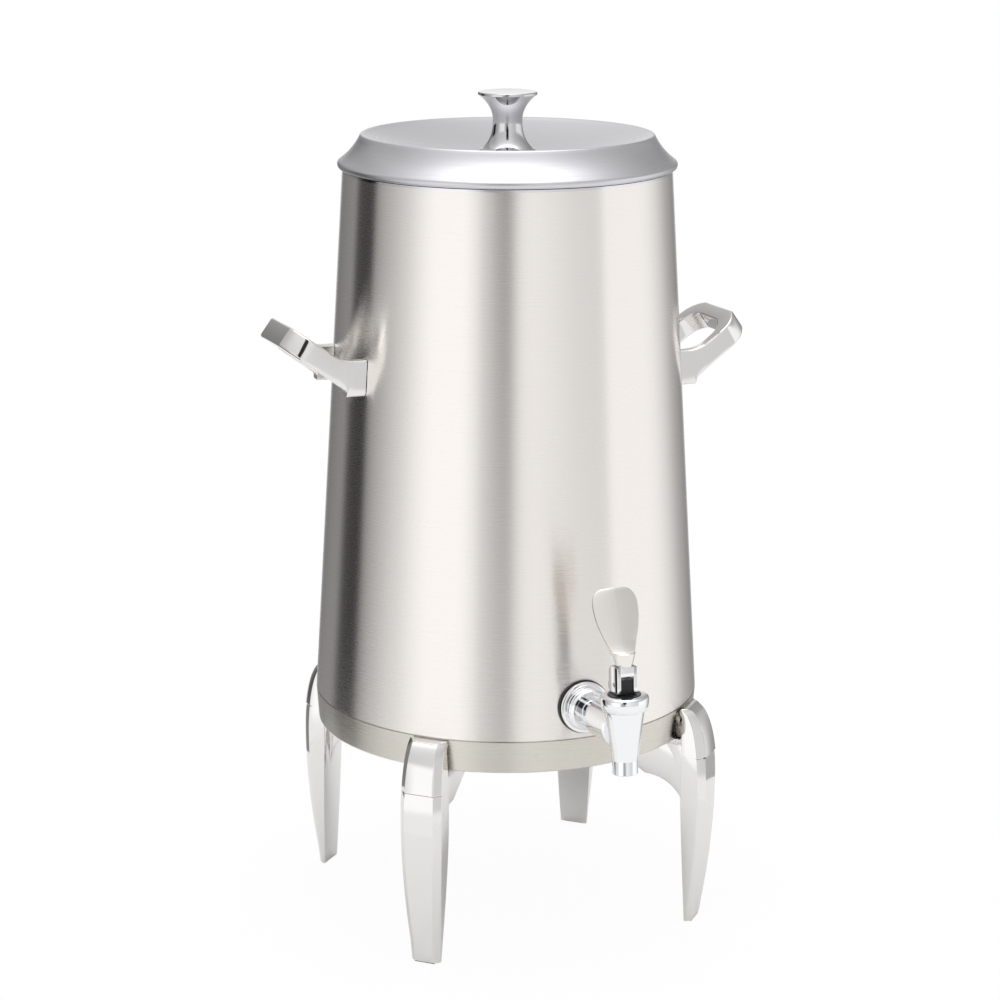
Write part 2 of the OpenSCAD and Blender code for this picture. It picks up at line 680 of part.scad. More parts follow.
module tap_flange() color(polish) at_tap() difference() {
    spoke(tap_flange_d, seal_t, seal_t + tap_flange_t);
    spoke(shank_d, 0, seal_t + tap_flange_t + cut);
}

lock_nut_y = seal_t + tap_flange_t;
nut_edge = 1.2; // width of the chamfer on the lock nut's edges
module tap_lock_nut() color(polish) at_tap() difference() {
    rotate([90, 0, 0]) rotate_extrude() polygon([
        [0, lock_nut_y], [lock_nut_d / 2 - nut_edge, lock_nut_y], [lock_nut_d / 2, lock_nut_y + nut_edge],
        [lock_nut_d / 2, lock_nut_y + lock_nut_t - nut_edge],
        [lock_nut_d / 2 - nut_edge, lock_nut_y + lock_nut_t], [0, lock_nut_y + lock_nut_t]]);
    spoke(shank_d, lock_nut_y - cut, lock_nut_y + lock_nut_t + cut);
}

hub_end = 6;     // distance from the hub's outer face to the tap's upright axis
barrel_rest = 6; // height of the barrel's straight stretch, where the bonnet is screwed on
// Half outline of spout and barrel, from the tip up
function barrel_points() = [[0, -spout_drop], [spout_d / 2, -spout_drop],
    [spout_d / 2, spout_tip_l - spout_drop], [barrel_d / 2, barrel_up - barrel_rest],
    [barrel_d / 2, barrel_up], [0, barrel_up]];
module tap_body() color(polish) difference() {
    union() {
        at_tap() spoke(shank_d, -shank_in, tap_reach);
        at_tap() spoke(hub_d, tap_reach - hub_l, tap_reach - hub_end);
        on_barrel() rotate_extrude() polygon(barrel_points());
    }
    at_tap() spoke(bore_d, -shank_in - cut, tap_reach);
    on_barrel(-spout_drop - cut) cylinder(h = spout_drop, d = bore_d);
    on_barrel(-seat_drop) cylinder(h = seat_drop + barrel_up + cut, d = chamber_d);
}

inner_seal_t = 2.5;
inner_seal_w = 5;    // width of the inner seal around the shank
inner_seal_over = 2; // depth of the inner seal before the liner's cone trims it
module tap_inner_seal() color(black) intersection() {
    at_tap() difference() {
        spoke(shank_d + 2 * inner_seal_w, -double_wall - inner_seal_t, inner_seal_over - double_wall);
        spoke(shank_d, -double_wall - inner_seal_t - cut, inner_seal_over - double_wall + cut);
    }
    cone(double_wall, liner_z, jacket_z1);
}

shank_nut_t = 5;
shank_nut_w = 4; // width of the shank nut around the shank, at its flats
module tap_shank_nut() color(steel) at_tap() difference() {
    translate([0, double_wall + inner_seal_t + shank_nut_t, 0]) rotate([90, 0, 0])
        hex(shank_d + 2 * shank_nut_w, shank_nut_t);
    spoke(shank_d, -shank_in - cut, 0);
}

bonnet_z = barrel_up - bonnet_lap;
bonnet_top = bonnet_z + bonnet_h;
guide_top = bonnet_top + guide_stand;
guide_low = guide_top - guide_t;
bonnet_round = 1.2; // radius of the bonnet's edges
bonnet_lip = 1;     // width of the ledge that carries the stem guide, inside the chamber's wall
module tap_bonnet() color(polish) on_barrel() difference() {
    rotate_extrude() polygon(concat(
        [[0, bonnet_z], [bonnet_d / 2 - bonnet_round, bonnet_z], [bonnet_d / 2, bonnet_z + bonnet_round]],
        arc([bonnet_d / 2 - bonnet_round, bonnet_top - bonnet_round], bonnet_round, bonnet_round, 0, 90, 4),
        [[0, bonnet_top]]));
    translate([0, 0, bonnet_z - cut]) cylinder(h = bonnet_lap + cut, d = barrel_d);
    translate([0, 0, barrel_up - cut]) cylinder(h = bonnet_h, d = chamber_d - 2 * bonnet_lip);
    translate([0, 0, guide_low]) cylinder(h = guide_t, d = guide_d);
}

module stem_guide() color(black) on_barrel(guide_low) tube(guide_d, stem_d + 2 * run_clear, guide_t);

cup_top = cup_h - seat_drop;
stem_bite = 6;   // length of the stem inside the seat cup
stem_low = cup_top - stem_bite;
collar_top = cup_top + collar_t;
yoke_z = guide_top + lever_gap;
pin_z = yoke_z + pin_up;
stem_cap = 3.4;  // height of the stem above the pin's axis
stem_top = pin_z + stem_cap;
module valve_stem() color(black) on_barrel() difference() {
    union() {
        translate([0, 0, stem_low]) cylinder(h = yoke_z - stem_low, d = stem_d);
        translate([-stem_d / 2, -stem_d / 2, yoke_z]) cube([stem_d, stem_d, stem_top - yoke_z]);
        translate([0, 0, cup_top]) cylinder(h = collar_t, d = cup_d);
    }
    translate([0, 0, pin_z]) rotate([0, 90, 0])
        cylinder(h = yoke_w, d = lever_pin_d + 2 * run_clear, center = true);
}

module seat_cup() color(black) on_barrel(-seat_drop) difference() {
    cylinder(h = cup_h, d = cup_d);
    translate([0, 0, stem_low + seat_drop]) cylinder(h = cup_h, d = stem_d);
}

// One ring of points around the spring's wire, and the mesh that joins the rings
wire_sides = 6;
turn_steps = 16;
spring_h = guide_low - collar_top - wire_d;
function wire_ring(i) = let (a = 360 * i / turn_steps, z = spring_h * i / (turn_steps * spring_turns))
    [for (k = [0:wire_sides - 1]) let (b = 360 * k / wire_sides, r = spring_d / 2 + wire_d / 2 * cos(b))
        [r * cos(a), r * sin(a), z + wire_d / 2 * sin(b)]];
module tap_spring() color(steel) on_barrel(collar_top + wire_d / 2) {
    rings = turn_steps * spring_turns;
    points = [for (i = [0:rings]) each wire_ring(i)];
    sides = [for (i = [0:rings - 1], k = [0:wire_sides - 1])
        let (a = i * wire_sides + k, b = i * wire_sides + (k + 1) % wire_sides)
        [a, a + wire_sides, b + wire_sides, b]];
    ends = [[for (k = [0:wire_sides - 1]) k],
        [for (k = [wire_sides - 1:-1:0]) rings * wire_sides + k]];
    polyhedron(points, concat(sides, ends));
}

// ---- Lever ----

yoke_top = yoke_z + yoke_h;
heel_r = 1.5;     // radius of the yoke's lower corners, which rock on the guide
yoke_slope = 5;   // height of the slope at the yoke's top
slot_top = pin_z + norm([stem_d / 2, stem_cap]) + lever_gap;

// The yoke seen from the side, as [back, up]
module yoke_side() polygon(concat(
    arc([yoke_back - heel_r, yoke_z + heel_r], heel_r, heel_r, -90, 0, 4),
    [[yoke_back, yoke_top - yoke_slope], [neck_d / 2, yoke_top], [-yoke_front, yoke_top]],
    arc([heel_r - yoke_front, yoke_z + heel_r], heel_r, heel_r, 180, 270, 4)));

module lever_yoke() color(polish) on_barrel() difference() {
    union() {
        rotate([90, 0, 90]) linear_extrude(yoke_w, center = true) yoke_side();
        translate([0, 0, yoke_top - cut]) cylinder(h = neck_h, d = stud_d);
    }
    translate([-slot_w / 2, -2 * yoke_front, yoke_z - cut])
        cube([slot_w, 2 * (yoke_front + yoke_back), slot_top - yoke_z + cut]);
    translate([0, 0, pin_z]) rotate([0, 90, 0]) cylinder(h = 2 * yoke_w, d = lever_pin_d, center = true);
}

module lever_pin() color(steel) on_barrel(pin_z) rotate([0, 90, 0])
    cylinder(h = yoke_w, d = lever_pin_d, center = true);

// Right half of the paddle's outline: it swells from the neck and rounds into a flat top
paddle_steps = 8;
function paddle_points() = concat(
    [for (i = [0:paddle_steps - 1])
        [(neck_top_d + (paddle_w - neck_top_d) * sin(90 * i / paddle_steps)) / 2,
         paddle_wide_h * i / paddle_steps]],
    arc([paddle_flat_w / 2, paddle_wide_h], (paddle_w - paddle_flat_w) / 2, paddle_h - paddle_wide_h,
        0, 90, paddle_steps));
paddle_back = 1; // distance of the paddle's foot behind the neck's axis
paddle_sink = 2; // depth of the paddle's foot in the neck
module lever_paddle() color(polish) on_barrel(yoke_top) difference() {
    union() {
        cylinder(h = neck_h, d1 = neck_d, d2 = neck_top_d);
        translate([0, paddle_back, neck_h - paddle_sink]) rotate([90 - paddle_lean, 0, 0])
            linear_extrude(paddle_t, center = true)
                polygon(concat(paddle_points(), mirrored(paddle_points())));
    }
    translate([0, 0, -cut]) cylinder(h = neck_h, d = stud_d);
}

outer_jacket();
mouth_ring();
inner_liner();
base_band();
base_plate();
liner_cradle();
base_insulation();
outlet_sleeve();
leg(45);  // leg_front_right
leg(-45);  // leg_front_left
leg(135);  // leg_back_right
leg(-135);  // leg_back_left
foot_pads();
leg_arm_screws();
leg_arm_washers();
leg_arm_nuts();
leg_hook_screws();
leg_hook_washers();
handle(right_handle);  // handle_right
handle(left_handle);  // handle_left
handle_screws();
handle_saddle_washers();
lid_shell();
lid_inner_pan();
lid_insulation();
lid_gasket();
lid_knob();
knob_screw();
knob_washer();
tap_outer_seal();
tap_flange();
tap_lock_nut();
tap_body();
tap_inner_seal();
tap_shank_nut();
tap_bonnet();
stem_guide();
tap_spring();
valve_stem();
seat_cup();
lever_yoke();
lever_pin();
lever_paddle();
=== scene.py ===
import math

import bmesh
import bpy
from mathutils import Matrix, Vector


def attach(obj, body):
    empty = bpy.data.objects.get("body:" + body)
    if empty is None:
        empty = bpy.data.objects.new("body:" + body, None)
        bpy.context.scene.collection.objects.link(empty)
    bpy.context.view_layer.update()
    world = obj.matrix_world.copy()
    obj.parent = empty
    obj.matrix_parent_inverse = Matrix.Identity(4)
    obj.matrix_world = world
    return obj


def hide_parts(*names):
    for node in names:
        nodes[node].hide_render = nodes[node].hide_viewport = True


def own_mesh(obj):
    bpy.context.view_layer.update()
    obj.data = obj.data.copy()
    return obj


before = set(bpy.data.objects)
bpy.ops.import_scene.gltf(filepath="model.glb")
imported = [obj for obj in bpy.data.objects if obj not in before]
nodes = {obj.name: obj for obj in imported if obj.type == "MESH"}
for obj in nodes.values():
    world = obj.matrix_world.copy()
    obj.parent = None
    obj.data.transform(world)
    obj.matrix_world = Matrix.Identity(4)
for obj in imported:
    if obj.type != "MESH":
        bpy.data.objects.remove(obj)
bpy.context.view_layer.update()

scene = bpy.context.scene


# ---- Camera ----
# A long lens 1.8 m away, higher than the urn and to the left of its tap, that looks down by 14
# degrees. The camera stands level but for a sixth of a degree, and its lens isn't shifted.

lens_mm, film_mm = 97.73, 36
camera_place = (-0.69356, -1.64135, 0.73553)
camera_turn, camera_dip, camera_roll = -22.769, 14.321, 0.158  # degrees
camera = bpy.data.objects.new("camera", bpy.data.cameras.new("camera"))
camera.data.lens = lens_mm
camera.data.sensor_width = film_mm
turn = Matrix.Rotation(math.radians(camera_turn), 4, "Z")
tilt = Matrix.Rotation(math.radians(90 - camera_dip), 4, "X")
roll = Matrix.Rotation(math.radians(camera_roll), 4, "Z")
camera.matrix_world = Matrix.Translation(camera_place) @ turn @ tilt @ roll
scene.collection.objects.link(camera)
scene.camera = camera
scene.view_settings.view_transform = "Standard"


# ---- Studio ----
# A bright softbox on the left, a wider one on the right, a grey gap between them around the dark
# lens, dark flags beyond both, a white background straight behind, and a softbox overhead.


def linear(code):
    """An sRGB hex colour such as "#c8c5c0" as linear red, green, blue and alpha."""
    parts = [int(code[i:i + 2], 16) / 255 for i in (1, 3, 5)]
    return [p / 12.92 if p < 0.04045 else ((p + 0.055) / 1.055) ** 2.4 for p in parts] + [1]


def add_node(tree, kind, inputs=None, **settings):
    """Adds a node, sets its properties, and fills or links its inputs by name or index."""
    node = tree.nodes.new("ShaderNode" + kind)
    for name, value in settings.items():
        setattr(node, name, value)
    for name, value in (inputs or {}).items():
        if isinstance(value, bpy.types.NodeSocket):
            tree.links.new(value, node.inputs[name])
        else:
            node.inputs[name].default_value = value
    return node


def fill_ramp(node, stops):
    """Sets a colour ramp's stops from (position, level) pairs."""
    ramp = node.color_ramp
    while len(ramp.elements) < len(stops):
        ramp.elements.new(1)
    for element, (position, level) in zip(ramp.elements, stops):
        element.position = position
        element.color = (level, level, level, 1)


def at(degrees):
    """Place on a ramp of a direction, in degrees to the right of the camera seen from the urn."""
    return (degrees + 180) / 360


world = bpy.data.worlds.new("studio")
scene.world = world
world.use_nodes = True
tree = world.node_tree
tree.nodes.clear()
facing = math.radians(camera_turn - 90)  # direction from the urn to the camera, in the XY plane
look = add_node(tree, "TexCoord")
split = add_node(tree, "SeparateXYZ", {0: look.outputs["Generated"]})
azimuth = add_node(tree, "Math", {0: split.outputs["Y"], 1: split.outputs["X"]}, operation="ARCTAN2")
from_back = add_node(tree, "Math", {0: azimuth.outputs[0], 1: facing - math.pi}, operation="SUBTRACT")
wrapped = add_node(tree, "Math", {0: from_back.outputs[0], 1: 2 * math.pi, 2: 0.0}, operation="WRAP")
share = add_node(tree, "Math", {0: wrapped.outputs[0], 1: 2 * math.pi}, operation="DIVIDE")

# The walls, seen from the height of the urn
walls = add_node(tree, "ValToRGB", {0: share.outputs[0]})
fill_ramp(walls, [
    (at(-180), 0.72), (at(-168), 0.52), (at(-160), 0.18), (at(-128), 0.27), (at(-122), 0.03),
    (at(-104), 0.0), (at(-99), 0.36), (at(-90), 0.46), (at(-80), 0.55), (at(-70), 0.70),
    (at(-58), 1.04), (at(-50), 1.20), (at(-28), 1.20), (at(-20), 0.90), (at(-15), 0.52),
    (at(-10), 0.42), (at(1), 0.44), (at(5), 0.76), (at(10), 0.88), (at(17), 0.92), (at(30), 0.85),
    (at(45), 0.75), (at(60), 0.73), (at(65), 0.76), (at(70), 1.10), (at(100), 1.08),
    (at(110), 1.0), (at(122), 0.80), (at(138), 0.45), (at(160), 0.24), (at(168), 0.55),
    (at(180), 0.72),
])
# The lens: a soft-edged dark patch straight in front, which narrows to nothing below the horizon
lens_centre, lens_middle_z, lens_half_z, lens_edge = at(-1), 0.15, 0.46, 3 / 360
lens_half_low, lens_half_high, lens_tone = -3 / 360, 7 / 360, [0.03, 0.03, 0.03, 1]
aside = add_node(tree, "Math", {0: share.outputs[0], 1: lens_centre}, operation="SUBTRACT")
across = add_node(tree, "Math", {0: aside.outputs[0]}, operation="ABSOLUTE")
width = add_node(tree, "MapRange", {0: split.outputs["Z"], 1: -0.1, 2: 0.2, 3: lens_half_low,
                                    4: lens_half_high})
beside = add_node(tree, "Math", {0: across.outputs[0], 1: width.outputs[0]}, operation="SUBTRACT")
in_width = add_node(tree, "MapRange", {0: beside.outputs[0], 1: 0.0, 2: lens_edge, 3: 1.0, 4: 0.0})
height = add_node(tree, "Math", {0: split.outputs["Z"], 1: lens_middle_z}, operation="SUBTRACT")
off_middle = add_node(tree, "Math", {0: height.outputs[0]}, operation="ABSOLUTE")
in_height = add_node(tree, "MapRange", {0: off_middle.outputs[0], 1: lens_half_z, 2: lens_half_z + 0.1,
                                        3: 1.0, 4: 0.0})
lens = add_node(tree, "Math", {0: in_width.outputs[0], 1: in_height.outputs[0]}, operation="MULTIPLY")
# Above the walls, dark flags stand at the back on both sides
flags = add_node(tree, "ValToRGB", {0: share.outputs[0]})
fill_ramp(flags, [
    (at(-180), 0.68), (at(-168), 1.0), (at(-161), 0.55), (at(-140), 0.34), (at(-133), 0.55),
    (at(-100), 0.50), (at(-60), 0.75), (at(-20), 0.85), (at(20), 0.90), (at(60), 0.62),
    (at(100), 0.50), (at(132), 0.42), (at(161), 0.34), (at(168), 0.62), (at(180), 0.68),
])
rising = add_node(tree, "MapRange", {0: split.outputs["Z"], 1: 0.17, 2: 0.30, 3: 0.0, 4: 1.0},
                  interpolation_type="SMOOTHSTEP")
sides = add_node(tree, "Mix", {0: rising.outputs[0], 6: walls.outputs[0], 7: flags.outputs[0]},
                 data_type="RGBA")
front = add_node(tree, "Mix", {0: lens.outputs[0], 6: sides.outputs[2], 7: lens_tone},
                 data_type="RGBA")
# The softbox overhead, bright in its middle
overhead_light = [2.2, 2.2, 2.22, 1]
overhead = add_node(tree, "ValToRGB", {0: split.outputs["Z"]})
fill_ramp(overhead, [
    (0.45, 0.0), (0.63, 0.05), (0.76, 0.12), (0.85, 0.26), (0.92, 0.72), (0.96, 1.0),
])
ceiling = add_node(tree, "Mix", {0: overhead.outputs[0], 6: front.outputs[2], 7: overhead_light},
                   data_type="RGBA")
# Below the walls, the white sweep of the table between the flags' feet
sweep = add_node(tree, "ValToRGB", {0: share.outputs[0]})
fill_ramp(sweep, [
    (at(-180), 0.85), (at(-165), 0.40), (at(-129), 0.26), (at(-122), 0.04), (at(-104), 0.02),
    (at(-98), 0.42), (at(-80), 1.0), (at(115), 1.0), (at(140), 0.45), (at(160), 0.35),
    (at(180), 0.85),
])
under = add_node(tree, "MapRange", {0: split.outputs["Z"], 1: -0.28, 2: -0.32, 3: 0.0, 4: 1.0},
                 interpolation_type="SMOOTHSTEP")
around = add_node(tree, "Mix", {0: under.outputs[0], 6: ceiling.outputs[2], 7: sweep.outputs[0]},
                  data_type="RGBA")
studio = add_node(tree, "Background", {0: around.outputs[2], 1: 1.0})
# The white background straight behind the urn, for the camera and for the metal
backdrop_half, backdrop_edge, backdrop_top, backdrop_end = 10, 5, 0.15, 0.27
backdrop = add_node(tree, "Background", {0: [1, 1, 1, 1], 1: 1.0})
half_turn = add_node(tree, "Math", {0: share.outputs[0], 1: 0.5}, operation="SUBTRACT")
from_front = add_node(tree, "Math", {0: half_turn.outputs[0]}, operation="ABSOLUTE")
behind = add_node(tree, "MapRange", {
    0: from_front.outputs[0], 1: 0.5 - (backdrop_half + backdrop_edge) / 360,
    2: 0.5 - backdrop_half / 360, 3: 0.0, 4: 1.0})
beneath = add_node(tree, "MapRange", {0: split.outputs["Z"], 1: backdrop_top, 2: backdrop_end,
                                      3: 1.0, 4: 0.0})
field = add_node(tree, "Math", {0: behind.outputs[0], 1: beneath.outputs[0]}, operation="MULTIPLY")
ray = add_node(tree, "LightPath")
through = add_node(tree, "Math", {0: ray.outputs["Is Glossy Ray"],
                                  1: ray.outputs["Is Transmission Ray"]}, operation="MAXIMUM")
mirrored = add_node(tree, "Math", {0: through.outputs[0], 1: field.outputs[0]}, operation="MULTIPLY")
seen = add_node(tree, "Math", {0: ray.outputs["Is Camera Ray"], 1: mirrored.outputs[0]},
                operation="MAXIMUM")
shown = add_node(tree, "MixShader", {0: seen.outputs[0], 1: studio.outputs[0], 2: backdrop.outputs[0]})
add_node(tree, "OutputWorld", {0: shown.outputs[0]})


# ---- Floor ----
# A round white table top, 720 mm across. It shows the urn's faint shadow in its middle, and its
# rim fades into the white sweep.


def new_material(name):
    """An empty node material, and its tree."""
    material = bpy.data.materials.new(name)
    material.use_nodes = True
    material.node_tree.nodes.clear()
    return material, material.node_tree


floor_r, shadow_r, fade_r = 0.36, 0.14, 0.33
mesh = bmesh.new()
bmesh.ops.create_circle(mesh, cap_ends=True, segments=96, radius=floor_r)
floor = bpy.data.objects.new("floor", bpy.data.meshes.new("floor"))
mesh.to_mesh(floor.data)
mesh.free()
scene.collection.objects.link(floor)
white_table, tree = new_material("white_table_top")
paint = add_node(tree, "BsdfDiffuse", {0: linear("#fafaf9")})
place = add_node(tree, "TexCoord")
reach = add_node(tree, "VectorMath", {0: place.outputs["Object"]}, operation="LENGTH")
rim = add_node(tree, "MapRange", {0: reach.outputs["Value"], 1: shadow_r, 2: fade_r, 3: 0.95, 4: 1.0},
               interpolation_type="SMOOTHSTEP")
ray = add_node(tree, "LightPath")
faded = add_node(tree, "Math", {0: rim.outputs[0], 1: ray.outputs["Is Camera Ray"]}, operation="MULTIPLY")
glow = add_node(tree, "Emission", {0: [1, 1, 1, 1], 1: 1.0})
table_top = add_node(tree, "MixShader", {0: faded.outputs[0], 1: paint.outputs[0], 2: glow.outputs[0]})
add_node(tree, "OutputMaterial", {0: table_top.outputs[0]})
floor.data.materials.append(white_table)


# ---- Vessel ----
# The jacket and the base band are rolled stainless sheet, brushed around the axis with a belt.
# The dark seam between them is a plain gap, and the mouth ring above is the same sheet, polished.


def dress(material, *names):
    """Gives the material to CAD nodes, in place of what they were packed with."""
    for name in names:
        data = nodes[name].data
        data.materials.clear()
        data.materials.append(material)


def metal(name, colour, roughness, grain, bump=0.0, unevenness=0.04, detail=2.0, brushed=False):
    """A metal whose roughness and tone follow a noise with the given grain, in cycles per metre."""
    material, tree = new_material(name)
    coords = add_node(tree, "TexCoord")
    spread = add_node(tree, "Mapping", {0: coords.outputs["Object"], "Scale": grain})
    noise = add_node(tree, "TexNoise", {"Vector": spread.outputs[0], "Scale": 1.0, "Detail": detail})
    dull = add_node(tree, "MapRange", {0: noise.outputs[0], 1: 0.3, 2: 0.7,
                                       3: max(0.02, roughness - unevenness), 4: roughness + unevenness})
    light = linear(colour)
    dark = [part * (1 - 1.5 * unevenness) for part in light[:3]] + [1]
    tone = add_node(tree, "Mix", {0: noise.outputs[0], 6: light, 7: dark}, data_type="RGBA")
    relief = add_node(tree, "Bump", {"Height": noise.outputs[0], "Distance": bump, "Strength": 1.0})
    inputs = {"Base Color": tone.outputs[2], "Metallic": 1.0, "Roughness": dull.outputs[0],
              "Normal": relief.outputs[0]}
    if brushed:
        around_axis = add_node(tree, "Tangent", direction_type="RADIAL", axis="Z")
        inputs.update({"Anisotropic": 0.95, "Anisotropic Rotation": 0.25,
                       "Tangent": around_axis.outputs[0]})
    surface = add_node(tree, "BsdfPrincipled", inputs)
    add_node(tree, "OutputMaterial", {0: surface.outputs[0]})
    return material


# Belt lines a quarter of a millimetre apart and some 150 mm long draw the light out into upright
# streaks. Real ones are twice as fine: these are as coarse as they need to be to show.
belt = {"roughness": 0.27, "grain": (6, 6, 3500), "bump": 0.00000035, "unevenness": 0.006,
        "detail": 3.0, "brushed": True}
brushed_stainless = metal("brushed_stainless", "#f3eeea", **belt)
dress(brushed_stainless, "outer_jacket")

# The band is rolled from another coil, a little darker and warmer, and brushed in the same way
brushed_band = metal("brushed_stainless_band", "#dbd7cf", **belt)
dress(brushed_band, "base_band")

# Drawn sheet, pickled to an even grey with faint die lines down the wall
drawn_stainless = metal("drawn_stainless", "#d6d7d8", 0.42, (700, 700, 20), bump=0.000003)
dress(drawn_stainless, "inner_liner", "base_plate", "outlet_sleeve", "lid_inner_pan")

# Polished sheet at the mouth, with fine turning marks
polished_stainless = metal("polished_stainless", "#e4e4e8", 0.14, (40, 40, 900), bump=0.000004)
dress(polished_stainless, "mouth_ring")


# ---- Base, seals and insulation ----
# The cradle, the tap's stem and its guide are moulded plastic, the seals silicone, the pads
# rubber, and the insulation open-cell foam. The cradle and the foam never show.


def dull_solid(name, colour, roughness, grain_mm, depth_mm):
    """A moulded or foamed surface: one colour, mottled and pitted at a grain in millimetres."""
    material, tree = new_material(name)
    coords = add_node(tree, "TexCoord")
    noise = add_node(tree, "TexNoise", {"Vector": coords.outputs["Object"], "Scale": 1000 / grain_mm,
                                        "Detail": 3.0})
    light = linear(colour)
    tone = add_node(tree, "Mix", {0: noise.outputs[0], 6: light,
                                  7: [part * 0.7 for part in light[:3]] + [1]}, data_type="RGBA")
    dull = add_node(tree, "MapRange", {0: noise.outputs[0], 1: 0.3, 2: 0.7, 3: roughness - 0.08,
                                       4: roughness + 0.08})
    relief = add_node(tree, "Bump", {"Height": noise.outputs[0], "Distance": depth_mm / 1000})
    surface = add_node(tree, "BsdfPrincipled", {"Base Color": tone.outputs[2], "Roughness": dull.outputs[0],
                                                "Normal": relief.outputs[0]})
    add_node(tree, "OutputMaterial", {0: surface.outputs[0]})
    return material


black_plastic = dull_solid("moulded_black_plastic", "#171717", 0.34, 0.8, 0.02)
dress(black_plastic, "liner_cradle", "stem_guide", "valve_stem")
black_silicone = dull_solid("moulded_silicone", "#1b1b1a", 0.5, 0.6, 0.02)
dress(black_silicone, "tap_outer_seal", "tap_inner_seal", "seat_cup", "lid_gasket")
foot_rubber = dull_solid("foot_rubber", "#222120", 0.7, 0.5, 0.05)
dress(foot_rubber, "foot_pads")
foam = dull_solid("open_cell_foam", "#e9e2c8", 0.9, 1.2, 0.6)
dress(foam, "base_insulation", "lid_insulation")


# ---- Fasteners ----
# Bright zinc-plated steel screws, nuts and washers, with the fine grain of the plating. The tap's
# spring is of bare drawn wire, a little darker.

fastener_steel = metal("zinc_plated_steel", "#b9bbbf", 0.24, (900, 900, 900), bump=0.000008)
dress(fastener_steel, "leg_arm_screws", "leg_arm_washers", "leg_arm_nuts", "leg_hook_screws",
      "leg_hook_washers", "handle_screws", "handle_saddle_washers", "knob_screw", "knob_washer",
      "tap_shank_nut", "lever_pin")
spring_steel = metal("drawn_spring_wire", "#a9abb0", 0.22, (300, 300, 300))


# ---- Lid ----
# One spun stainless shell: a shallow dish, a rounded crest, a hollow shoulder and a rolled bead
# around the rim, with a hem inside that grips the inner pan. Brushed to a satin in rings.


def turned(mesh, outline, steps=128, ring=False):
    """Spins a half outline of (radius, height) around Z. A ring's outline closes on itself."""
    verts = [mesh.verts.new((r, 0, z)) for r, z in outline]
    edges = [mesh.edges.new(pair) for pair in zip(verts, verts[1:])]
    if ring:
        edges.append(mesh.edges.new((verts[-1], verts[0])))
    bmesh.ops.spin(mesh, geom=verts + edges, axis=(0, 0, 1), cent=(0, 0, 0), dvec=(0, 0, 0),
                   angle=2 * math.pi, steps=steps, use_merge=True)


def make_piece(name, mesh, material, body, node, place=Matrix(), crease=30):
    """Turns a bmesh in millimetres into a placed, smoothed object that replaces a CAD node."""
    bmesh.ops.remove_doubles(mesh, verts=mesh.verts[:], dist=0.001)
    bmesh.ops.recalc_face_normals(mesh, faces=mesh.faces[:])
    bmesh.ops.transform(mesh, matrix=Matrix.Scale(0.001, 4) @ place, verts=mesh.verts[:])
    data = bpy.data.meshes.new(name)
    mesh.to_mesh(data)
    mesh.free()
    for face in data.polygons:
        face.use_smooth = True
    data.set_sharp_from_angle(angle=math.radians(crease))
    data.materials.append(material)
    piece = bpy.data.objects.new(name, data)
    scene.collection.objects.link(piece)
    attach(piece, body)
    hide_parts(node)
    return piece


def arc(centre, rx, ry, start, end, steps):
    """Points along part of an ellipse, angles in degrees."""
    angles = [math.radians(start + (end - start) * i / steps) for i in range(steps + 1)]
    return [(centre[0] + rx * math.cos(a), centre[1] + ry * math.sin(a)) for a in angles]


def curve(start, pull, end, steps):
    """Points along a curve that leaves the start, and meets the end, in line with one pull."""
    start, pull, end = Vector(start), Vector(pull), Vector(end)
    spots = [i / steps for i in range(steps + 1)]
    return [tuple(start.lerp(pull, t).lerp(pull.lerp(end, t), t)) for t in spots]


jacket_top_r, mouth_z, sheet = 108.7, 506.0, 1.2
crest_r, crest_z, crest_w = 95.4, 528.8, 4
land_r, land_z = 19.4, 516.8  # the flat middle that carries the knob
bead_c, bead_r = Vector((jacket_top_r + 0.3, 509.2)), 2.7
hem_r, hem_w, hem_z = 104, 2.4, mouth_z + 2.3
hollow = 1.4  # how far the shoulder dips below a straight cone


def dish(r):
    """Height of the dished top at a radius."""
    return crest_z - (crest_z - land_z) * (1 - (max(0, r - land_r) / (crest_r - land_r)) ** 2)


shoulder_top = Vector((crest_r + 1.33, crest_z - 0.9))
shoulder_end = bead_c + bead_r * Vector((math.cos(math.radians(50)), math.sin(math.radians(50))))
run = (shoulder_end - shoulder_top).normalized()
inward = Vector((run.y, -run.x))


def shoulder(t, depth):
    """A point down the hollow shoulder, at a depth into the sheet."""
    return tuple(shoulder_top.lerp(shoulder_end, t) + (depth + 4 * hollow * t * (1 - t)) * inward)


dish_rs = [land_r + (crest_r - crest_w - land_r) * i / 24 for i in range(25)]
crest = [(crest_r - crest_w + d, z) for d, z in (
    (1.2, 528.05), (2.2, 528.45), (3.2, 528.72), (4.2, 528.78), (4.8, 528.55))]
upper_side = [(0, land_z)] + [(r, dish(r)) for r in dish_rs] + crest + [
    shoulder(i / 12, 0) for i in range(13)]
under_side = [shoulder(t, sheet) for t in (0.8, 0.5, 0.2, 0.0)] + [
    (r, dish(r) - sheet) for r in reversed(dish_rs)] + [(0, land_z - sheet)]
hem = [(hem_r, hem_z), (hem_r, hem_z + sheet), (hem_r + hem_w, hem_z + sheet)]
mesh = bmesh.new()
turned(mesh, upper_side + arc(bead_c, bead_r, bead_r, 40, -160, 14) + hem + under_side, steps=180)

